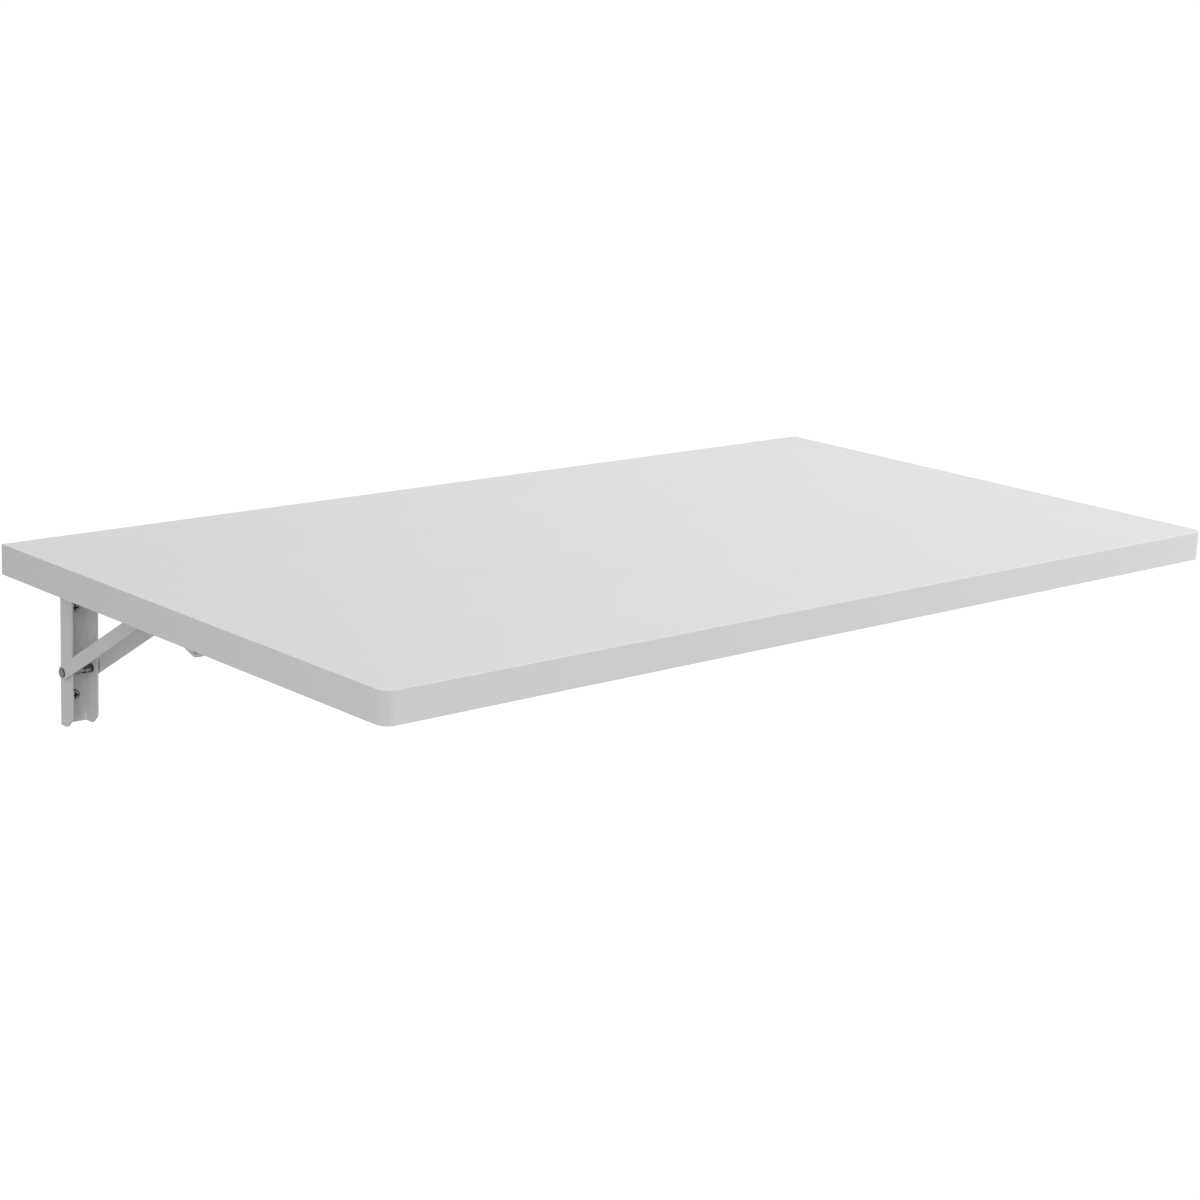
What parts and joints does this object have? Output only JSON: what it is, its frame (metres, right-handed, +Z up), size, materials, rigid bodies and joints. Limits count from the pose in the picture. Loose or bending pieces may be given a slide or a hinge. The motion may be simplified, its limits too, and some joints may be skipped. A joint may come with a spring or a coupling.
{
  "type": "wall mounted drop leaf table",
  "caption": "Wall mounted drop leaf table: a flat white leaf with rounded front corners on folding steel brackets that lock open and let it hang flat against the wall.",
  "frame": {"origin": "middle of the wall screw pattern, on the wall plane", "axes": "+X along the wall, +Y into the wall, +Z up; the leaf stands out towards -Y"},
  "size_m": [0.9, 0.511, 0.1587],
  "materials": {
    "white_laminate": "satin melamine",
    "white_edge": "satin",
    "board": "raw fibreboard",
    "white_powder_coat": "satin powder coat",
    "zinc_steel": "zinc plated",
    "spring_steel": "drawn wire",
    "nylon": "moulded"
  },
  "bodies": {
    "wall_frame": {"wall_screws": "zinc_steel", "left_wall_channel": "white_powder_coat", "left_hinge_pin": "zinc_steel", "left_brace_pin": "zinc_steel", "left_brace_washers": "zinc_steel", "left_pin_collar": "zinc_steel", "right_wall_channel": "white_powder_coat", "right_hinge_pin": "zinc_steel", "right_brace_pin": "zinc_steel", "right_brace_washers": "zinc_steel", "right_pin_collar": "zinc_steel"},
    "leaf": {"leaf_core": "board", "leaf_top_laminate": "white_laminate", "leaf_under_laminate": "white_laminate", "leaf_edge_band": "white_edge", "leaf_back_band": "white_edge", "arm_screws": "zinc_steel", "left_arm": "white_powder_coat", "left_lever_pin": "zinc_steel", "left_lever_spring": "spring_steel", "right_arm": "white_powder_coat", "right_lever_pin": "zinc_steel", "right_lever_spring": "spring_steel"},
    "left_brace": {"left_brace_outer_bar": "white_powder_coat", "left_brace_inner_bar": "white_powder_coat", "left_brace_top_rivets": "zinc_steel"},
    "left_slider": {"left_slide_pin": "zinc_steel", "left_slide_bushes": "nylon"},
    "left_lever": {"left_release_lever": "white_powder_coat"},
    "right_brace": {"right_brace_outer_bar": "white_powder_coat", "right_brace_inner_bar": "white_powder_coat", "right_brace_top_rivets": "zinc_steel"},
    "right_slider": {"right_slide_pin": "zinc_steel", "right_slide_bushes": "nylon"},
    "right_lever": {"right_release_lever": "white_powder_coat"}
  },
  "joints": [
    {"name": "leaf_fold", "type": "hinge", "parent": "wall_frame", "child": "leaf", "pos_m": [0, -0.0143, 0.0517], "axis": [1, 0, 0], "range_deg": [0, 90]},
    {"name": "left_brace_swing", "type": "hinge", "parent": "wall_frame", "child": "left_brace", "pos_m": [-0.3849, -0.0104, -0.014], "axis": [1, 0, 0], "range_deg": [0, 116.3]},
    {"name": "left_pin_slide", "type": "slide", "parent": "leaf", "child": "left_slider", "axis": [0, -1, 0], "range_m": [0, 0.0902]},
    {"name": "left_lever_press", "type": "hinge", "parent": "leaf", "child": "left_lever", "pos_m": [-0.3849, -0.1523, 0.053], "axis": [-1, 0, 0], "range_deg": [0, 12], "stiffness_Nm_per_rad": 0.5, "springref_deg": -8.59, "deforming": ["left_lever_spring"]},
    {"name": "right_brace_swing", "type": "hinge", "parent": "wall_frame", "child": "right_brace", "pos_m": [0.3849, -0.0104, -0.014], "axis": [1, 0, 0], "range_deg": [0, 116.3]},
    {"name": "right_pin_slide", "type": "slide", "parent": "leaf", "child": "right_slider", "axis": [0, -1, 0], "range_m": [0, 0.0902]},
    {"name": "right_lever_press", "type": "hinge", "parent": "leaf", "child": "right_lever", "pos_m": [0.3849, -0.1523, 0.053], "axis": [-1, 0, 0], "range_deg": [0, 12], "stiffness_Nm_per_rad": 0.5, "springref_deg": -8.59, "deforming": ["right_lever_spring"]}
  ],
  "couplings": [
    {"joint": "left_brace_swing", "follows": "leaf_fold", "ratio": 1.2915},
    {"joint": "left_pin_slide", "follows": "leaf_fold", "m_per_rad": 0.057392},
    {"joint": "right_brace_swing", "follows": "leaf_fold", "ratio": 1.2915},
    {"joint": "right_pin_slide", "follows": "leaf_fold", "m_per_rad": 0.057392}
  ]
}
